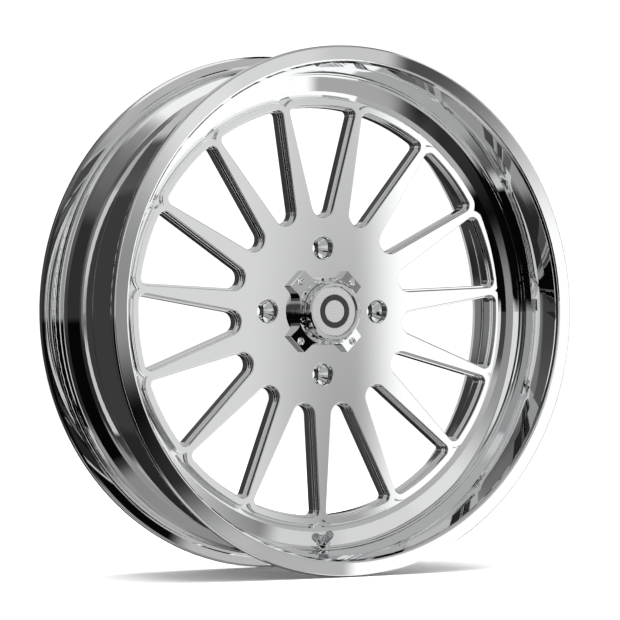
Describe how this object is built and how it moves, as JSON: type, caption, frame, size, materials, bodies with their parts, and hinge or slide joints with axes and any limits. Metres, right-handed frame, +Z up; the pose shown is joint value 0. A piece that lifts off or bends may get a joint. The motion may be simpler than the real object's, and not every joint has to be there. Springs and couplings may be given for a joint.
{
  "type": "wheel",
  "caption": "Forged, mirror-polished off-road wheel rim with a deep dish, slim tapered spokes, a screwed-on billet centre cap and a metal tyre valve.",
  "frame": {"origin": "centre of the wheel: on its axis, midway between the two flanges, in the plane of the hub pad", "axes": "+Y along the wheel's axis from the styled face towards the vehicle; +Z up with the valve at the bottom; +X to the right seen from the front"},
  "size_m": [0.6449, 0.2046, 0.645],
  "materials": {
    "polished_barrel": "mirror polished forged aluminium",
    "polished_centre": "mirror polished forged and machined aluminium",
    "cap_plating": "bright plated billet aluminium",
    "cap_lid_plating": "bright plated billet aluminium",
    "badge_metal": "fine brushed, with a plain dark ring",
    "seal_rubber": "matt black",
    "spring_steel": "bright drawn wire and strip",
    "screw_steel": "bright stainless steel",
    "valve_plating": "bright nickel plated brass",
    "core_brass": "turned brass",
    "valve_cap_metal": "bright plated, fluted"
  },
  "bodies": {
    "wheel": {"rim_barrel": "polished_barrel", "spoked_centre": "polished_centre", "cap_body": "cap_plating", "cap_lid": "cap_lid_plating", "cap_badge": "badge_metal", "cap_o_ring": "seal_rubber", "cap_snap_ring": "spring_steel", "cap_screw_1": "screw_steel", "cap_screw_2": "screw_steel", "cap_screw_3": "screw_steel", "cap_screw_4": "screw_steel", "valve_stem": "valve_plating", "valve_grommet": "seal_rubber", "valve_washer": "valve_plating", "valve_nut": "valve_plating", "valve_core_body": "core_brass", "valve_core_spring": "spring_steel"},
    "cap_seal": {"valve_cap_seal": "seal_rubber"},
    "screw_cap": {"valve_cap": "valve_cap_metal"},
    "core_pin": {"valve_core_pin": "core_brass", "valve_core_seal": "seal_rubber"}
  },
  "joints": [
    {"name": "valve_cap_lift", "type": "slide", "parent": "wheel", "child": "cap_seal", "axis": [0, -0.8192, 0.5736], "range_m": [0, 0.00556]},
    {"name": "valve_cap_turn", "type": "hinge", "parent": "cap_seal", "child": "screw_cap", "pos_m": [0, -0.03235, -0.2855], "axis": [0, -0.8192, 0.5736], "range_deg": [0, 2521]},
    {"name": "valve_core_press", "type": "slide", "parent": "wheel", "child": "core_pin", "axis": [0, 0.8192, -0.5736], "range_m": [0, 0.0012], "stiffness_N_per_m": 400, "springref_m": -0.002, "deforming": ["valve_core_spring"]}
  ],
  "couplings": [
    {"joint": "valve_cap_turn", "follows": "valve_cap_lift", "rad_per_m": 7913.3}
  ]
}
